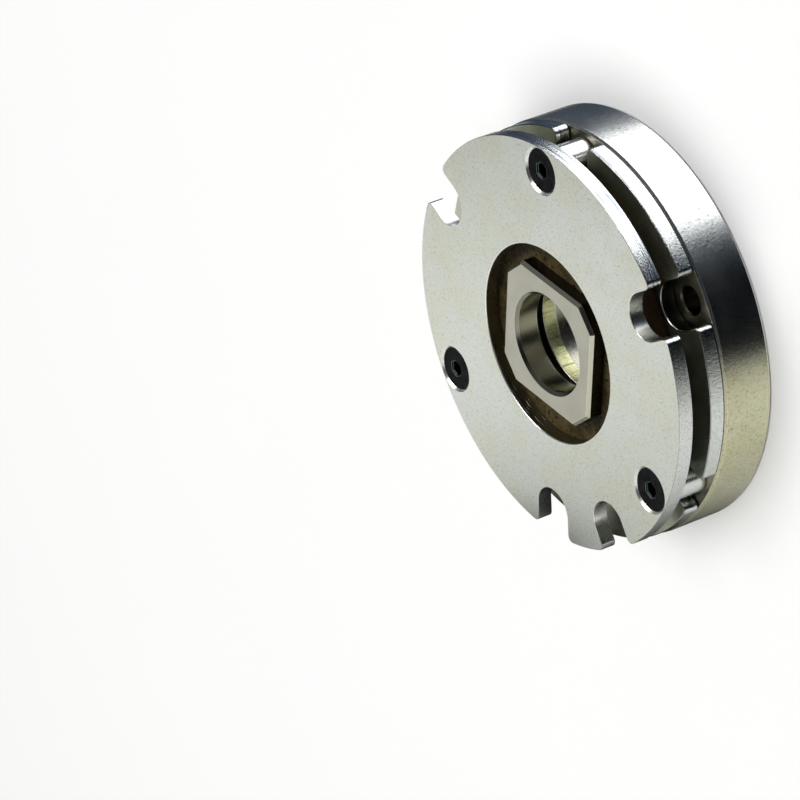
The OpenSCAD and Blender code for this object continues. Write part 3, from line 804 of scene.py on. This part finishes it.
# Thread r = R - d w with w a triangle wave of (z / pitch - t / 2 pi), fading out at both ends; t runs round
# and z along.
def threadPatch(centre):
    t = np.arange(screw["sides"])[:, None] * 2 * np.pi / screw["sides"]
    z = np.linspace(screw["tip"] + screw["tipEdge"], screw["threadTop"], screw["threadRows"])[None]
    wave = np.abs(2 * ((z / screw["pitch"] - t / (2 * np.pi)) % 1.0) - 1)
    fade = np.clip((z - z[0, 0]) / screw["runIn"], 0, 1) * np.clip((z[0, -1] - z) / screw["runOut"], 0, 1)
    r = screw["shank"] - screw["threadDepth"] * wave * fade
    z = z + 0 * t
    points = np.stack([centre[0] + r * np.cos(t), centre[1] + r * np.sin(t), z], -1)
    slope = np.gradient(r, axis=1) / np.gradient(z, axis=1)
    normals = np.stack([np.cos(t) + 0 * z, np.sin(t) + 0 * z, -slope], -1)
    return gridPatch(points, normals, np.zeros(r.shape), plainZone)


# Six-sided socket: an eased hexagon with a small lead-in, walls straight down and a shallow cone as its
# floor.
def socketPatches(centre):
    width, top, lead, ease = (screw[key] for key in ("socketWidth", "headTop", "socketLead", "leadEase"))
    a = np.radians(30 + 60 * np.arange(6))
    corners = width / np.sqrt(3) * np.column_stack([np.cos(a), np.sin(a)])
    spots, out, _ = easedPath(corners, [screw["socketCorner"]] * 6, 3, closed=True)
    sole = top - screw["socketDepth"]
    section = edgeSection([(width, sole), (0, sole), (0, top - lead), (-lead, top), (-width, top)],
                          [0, 0, ease, ease, 0])
    wall = carried(section, (spots + centre, -out), holeZone)
    ring = np.column_stack([wall["first"], np.full(len(spots), sole)])
    return [wall, cap(ring, (0, 0, 1), -screw["socketPoint"], holeZone)]


shank, tip, edge, top = screw["shank"], screw["tip"], screw["tipEdge"], screw["headTop"]
tipSection = easedPath([(0, tip), (shank - edge, tip), (shank, tip + edge), (shank, screw["threadTop"])],
                       [0, screw["tipEase"], 0, 0])
headSection = easedPath([(shank, screw["threadTop"]), (shank, screw["neck"]), (screw["head"], top),
                         (shank, top)], [0, screw["neckEase"], screw["headEdge"], 0])
patches = []
for angle in stack["screwAngles"]:
    centre = onBoltCircle(angle)
    point, crown = (turned([part[:-1] for part in section], screw["sides"], plainZone, centre)
                    for section in (tipSection, headSection))
    socket = socketPatches(centre)
    face = flatFace([crown["last"], socket[0]["last"]], top, True)
    patches += [point, threadPatch(centre), crown, face] + socket
makePiece("plateScrews", patches, finishes["blackScrew"], "housing", ["plate_screws"])


# coil: a bobbin with the winding on it, sealed by cast resin
coil = {"inner": 18.05, "outer": 28.95, "floor": 3.2, "top": 9.3, "wall": 0.8, "soften": 0.15, "sides": 180,
        "wires": 12, "wireSteps": 8, "wireDip": 0.12, "windingOuter": 28.35, "resinTop": 10.1,
        "resinDish": 0.12, "resinLip": 1.5, "resinFoot": 0.05, "resinEdge": 0.1, "resinEase": 0.8}
inner, outer, wall, low, high = (coil[key] for key in ("inner", "outer", "wall", "floor", "top"))
core = inner + wall
section = ringSection([(inner, low), (outer, low), (outer, low + wall), (core, low + wall),
                       (core, high - wall), (outer, high - wall), (outer, high), (inner, high)],
                      [coil["soften"]] * 8)
makePiece("coilBobbin", [turned(section, coil["sides"])], finishes["bobbinNylon"], "housing",
          ["coil_bobbin"])


# Winding: the outer side is a row of n wires, r = R - d (1 - |sin(pi n s)|), between two flat ends.
def windingSection():
    s = np.linspace(0, 1, coil["wires"] * coil["wireSteps"] + 1)
    r = coil["windingOuter"] - coil["wireDip"] * (1 - np.abs(np.sin(np.pi * coil["wires"] * s)))
    wires = np.column_stack([r, low + wall + (high - low - 2 * wall) * s])
    path = np.concatenate([[(core, low + wall)], wires, [(core, high - wall), (core, low + wall)]])
    along = np.gradient(path, axis=0)
    look = np.column_stack([along[:, 1], -along[:, 0]]) / np.hypot(*along.T)[:, None]
    return path, look, np.zeros(len(path))


makePiece("coilWinding", [turned(windingSection(), coil["sides"])], finishes["copperWire"], "housing",
          ["coil_winding"])
dish, lip, top = coil["resinTop"] - coil["resinDish"], coil["resinLip"], coil["resinTop"]
foot, edge, ease = coil["resinFoot"], coil["resinEdge"], coil["resinEase"]
section = ringSection([(inner, high), (outer, high), (outer, top), (outer - lip, dish), (inner + lip, dish),
                       (inner, top)], [foot, foot, edge, ease, ease, edge])
makePiece("coilPotting", [turned(section, coil["sides"])], finishes["pottingResin"], "housing",
          ["coil_potting"])


# grommet: rubber bush in the stator's side inlet
grommet = {"hole": 1.1, "bush": 1.95, "start": 29.6, "rim": 40.0, "lip": 2.9, "lipThick": 0.8, "soften": 0.15,
           "seat": 0.05, "round": 0.45, "sides": 64}
hole, bush, start, rim, lip = (grommet[key] for key in ("hole", "bush", "start", "rim", "lip"))
soft, end = grommet["soften"], rim + grommet["lipThick"]
section = ringSection([(hole, start), (bush, start), (bush, rim), (lip, rim), (lip, end), (hole, end)],
                      [soft, soft, grommet["seat"], soft, grommet["round"], soft])
body = turned(section, grommet["sides"], plainZone, (0, 0, stator["inletHeight"]), stator["inletAngle"])
makePiece("leadGrommet", [body], finishes["grommetRubber"], "housing", ["lead_grommet"])


# springs: six, which press the armature away from the stator
spring = {"radius": 1.75, "wire": 0.35, "length": 7.5, "turns": 5.5, "closedPitch": 0.805, "perTurn": 36,
          "sides": 14, "airGap": 0.2}


# Closed and ground spring: a circle of wire carried along a helix whose pitch is small in the first and last
# turn, with the height held between the two ground ends; t along the wire, a round it.
def springPatches(centre):
    wire, length, turns, pitch = spring["wire"], spring["length"], spring["turns"], spring["closedPitch"]
    t = np.linspace(0, turns, int(turns * spring["perTurn"]) + 1)[None]
    a = np.arange(spring["sides"])[:, None] * 2 * np.pi / spring["sides"]
    rise = np.interp(t, [0, 1, turns - 1, turns], [0, pitch, length - pitch, length]) + wire * np.sin(a)
    z = np.clip(rise, 0, length)
    r = spring["radius"] + wire * np.cos(a) + 0 * t
    across, along = np.cos(2 * np.pi * t), np.sin(2 * np.pi * t)
    points = np.stack([centre[0] + r * across, centre[1] + r * along, stator["pocketFloor"] + z], -1)
    ground = (rise != z)[..., None]
    look = np.stack([np.cos(a) * across, np.cos(a) * along, np.sin(a) + 0 * t], -1)
    look = np.where(ground, np.stack([0 * z, 0 * z, np.sign(rise - z)], -1), look)
    return [gridPatch(points, look, np.zeros(z.shape), plainZone),
            cap(points[:, 0], (0, -1, 0)), cap(points[:, -1], (0, np.cos(2 * np.pi * turns), 0))]


foot = (0, 0, stator["pocketFloor"] * mm)
for number, angle in enumerate(stator["springAngles"], 1):
    piece = makePiece(f"torqueSpring{number}", springPatches(onBoltCircle(angle)), finishes["springWire"],
                      "housing", [f"torque_spring_{number}"])
    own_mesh(piece)


# camera: place in metres, and its right and up directions
camera = {"lens": 223.64, "sensor": 36.0, "clip": (0.01, 50.0), "place": (0.65778, 0.42132, 0.48364),
          "right": (0.56810, -0.04737, -0.82159), "up": (-0.36547, 0.87997, -0.30345)}
eye = bpy.data.objects.new("camera", bpy.data.cameras.new("camera"))
bpy.context.scene.collection.objects.link(eye)
eye.data.lens, eye.data.sensor_width = camera["lens"], camera["sensor"]
eye.data.clip_start, eye.data.clip_end = camera["clip"]
right, up = Vector(camera["right"]), Vector(camera["up"])
turn = Matrix((right, up, right.cross(up))).transposed()
eye.matrix_world = Matrix.Translation(camera["place"]) @ turn.to_4x4()
bpy.context.scene.camera = eye

# the floor under the brake, and a card close to its lower rim that throws the soft box's light back, with a
# painted contact shadow that makes it darkest where the brake would touch it; sheets and gaps in metres, the
# card's shading in mm
paper = {"colour": (0.9, 0.9, 0.89), "shade": 0.985, "shadeScale": 0.02, "floor": 3.0, "floorGap": 0.0001,
         "cardColour": (0.61, 0.61, 0.59), "card": 0.5, "cardGap": 0.0005,
         "paintedShadowFrom": 9.0, "paintedShadowTo": 36.0, "fadeFrom": 100.0, "fadeTo": 420.0}


def paperFinish(name, colour):
    material, tree, shader, spot = newMaterial(name)
    clouds = noiseNode(tree, spot, paper["shadeScale"])
    tone = mixColour(tree, clouds, colour, [c * paper["shade"] for c in colour])
    shader.inputs["Roughness"].default_value = 1.0
    shader.inputs["Specular IOR Level"].default_value = 0.0
    tree.links.new(tone, shader.inputs["Base Color"])
    return material, tree, shader, spot, tone


# floor paper that can be looked through from below, so that the rear face shows
def floorFinish():
    material, tree, shader, _, _ = paperFinish("floorPaper", paper["colour"])
    behind = addNode(tree, "ShaderNodeNewGeometry").outputs["Backfacing"]
    clear = addNode(tree, "ShaderNodeBsdfTransparent").outputs[0]
    sheet = addNode(tree, "ShaderNodeMixShader", {0: behind, 1: shader.outputs[0], 2: clear}).outputs[0]
    tree.links.new(sheet, tree.nodes["Material Output"].inputs[0])
    return material


def cardFinish():
    material, tree, shader, spot, tone = paperFinish("cardPaper", paper["cardColour"])
    flat = vectorMath(tree, "MULTIPLY", {0: spot, 1: (1.0, 0.0, 1.0)})[0]
    away = vectorMath(tree, "LENGTH", {0: flat})["Value"]
    # painted contact shadow: the card is dark near where the brake would touch it and brightens away from it
    near = ramp(tree, away, paper["paintedShadowFrom"], paper["paintedShadowTo"])
    far = ramp(tree, away, paper["fadeFrom"], paper["fadeTo"], 1.0, 0.0)
    tone = mixColour(tree, product(tree, near, far), (0.0, 0.0, 0.0), tone)
    tree.links.new(tone, shader.inputs["Base Color"])
    return material


def paperSheet(name, corners, material):
    mesh = bpy.data.meshes.new(name)
    mesh.from_pydata(corners, [], [(0, 1, 2, 3)])
    mesh.materials.append(material)
    sheet = bpy.data.objects.new(name, mesh)
    bpy.context.scene.collection.objects.link(sheet)
    sheet.visible_diffuse = sheet.visible_shadow = False
    return sheet


def litGroup(name, things):
    group = bpy.data.collections.new(name)
    for thing in things:
        group.objects.link(thing)
    return group


half, wide = paper["floor"], paper["card"]
low, under = -paper["floorGap"], -stator["rim"] * mm - paper["cardGap"]
square = ((-1, -1), (1, -1), (1, 1), (-1, 1))
floor = paperSheet("floor", [(x * half, y * half, low) for x, y in square], floorFinish())
floor.visible_glossy = False  # the lights of the brake also reach it from below
card = paperSheet("card", [(x * wide, under, z * wide) for z, x in square], cardFinish())
card.visible_camera = False
brakeParts.objects.link(card)
floorParts = litGroup("floorParts", [floor])
cardParts = litGroup("cardParts", [card])
frontParts = litGroup("frontParts", [thing for thing in brakeParts.objects
                                     if thing.name not in ("statorYoke", "rotorHub")])

# soft boxes: middle, the point each looks at, width and height, and radiance; on says what it lights
lights = {
    "topBox": {"at": (-0.12, 0.5, -0.315), "to": (-0.12, 0.0, -0.315), "wide": (0.77, 0.73), "glow": 2.5,
               "on": brakeParts},
    "cardBox": {"at": (-0.12, 0.5, 0.25), "to": (-0.12, 0.0, 0.25), "wide": (0.77, 0.4), "glow": 2.7,
                "on": cardParts},
    "frontBox": {"at": (-0.3, 0.66, 0.82), "to": (0, 0, 0.015), "wide": (0.65, 0.4), "glow": 8.0,
                 "on": frontParts},
    "floorBox": {"at": (0.0, 0.0, 1.2), "to": (0, 0, 0), "wide": (1.6, 1.6), "glow": 2.75, "on": floorParts},
}
for name, box in lights.items():
    lamp = bpy.data.lights.new(name, "AREA")
    lamp.shape = "RECTANGLE"
    lamp.size, lamp.size_y = box["wide"]
    lamp.energy = box["glow"] * np.pi * box["wide"][0] * box["wide"][1]
    thing = bpy.data.objects.new(name, lamp)
    bpy.context.scene.collection.objects.link(thing)
    thing.location = box["at"]
    aim = Vector(box["to"]) - Vector(box["at"])
    thing.rotation_mode = "QUATERNION"
    thing.rotation_quaternion = aim.to_track_quat("-Z", "Z")
    thing.visible_camera = False
    thing.light_linking.receiver_collection = box["on"]

# the room: pale above the floor on the card's side and far to the right, dim on the left and opposite the
# card, dark elsewhere
room = {"dark": (0.003, 0.004, 0.005), "wall": (0.06, 0.08, 0.11), "pale": (0.2, 0.2, 0.2),
        "wallFrom": 0.35, "wallFull": 0.75, "topFrom": 0.45, "topFull": 0.75,
        "paleFrom": 0.0, "paleFull": 0.3, "paleSide": 0.5, "farShare": 0.7,
        "rightFrom": -0.2, "rightTo": 0.4, "rightShare": 0.12, "edgeFrom": 0.55, "edgeFull": 0.75}
world = bpy.data.worlds.new("studio")
world.use_nodes = True
tree = world.node_tree
outward = addNode(tree, "ShaderNodeTexCoord").outputs["Generated"]
way = addNode(tree, "ShaderNodeSeparateXYZ", {0: outward}).outputs
wall = ramp(tree, product(tree, way[0], -1.0), room["wallFrom"], room["wallFull"])
wall = mathNode(tree, "MAXIMUM", wall, ramp(tree, way[1], room["topFrom"], room["topFull"]))
tone = mixColour(tree, wall, room["dark"], room["wall"])
lift = ramp(tree, way[2], room["paleFrom"], room["paleFull"])
side = ramp(tree, way[1], 0.0, room["paleSide"], 1.0, room["farShare"])
across = ramp(tree, way[0], room["rightFrom"], room["rightTo"], 1.0, room["rightShare"])
farRight = ramp(tree, way[0], room["edgeFrom"], room["edgeFull"])
share = product(tree, lift, mathNode(tree, "MAXIMUM", product(tree, side, across), farRight))
tone = mixColour(tree, share, tone, room["pale"])
tree.links.new(tone, tree.nodes["Background"].inputs["Color"])
bpy.context.scene.world = world
bpy.context.scene.view_settings.view_transform = "Standard"
print("camera, floor, room and", len(lights), "lights")
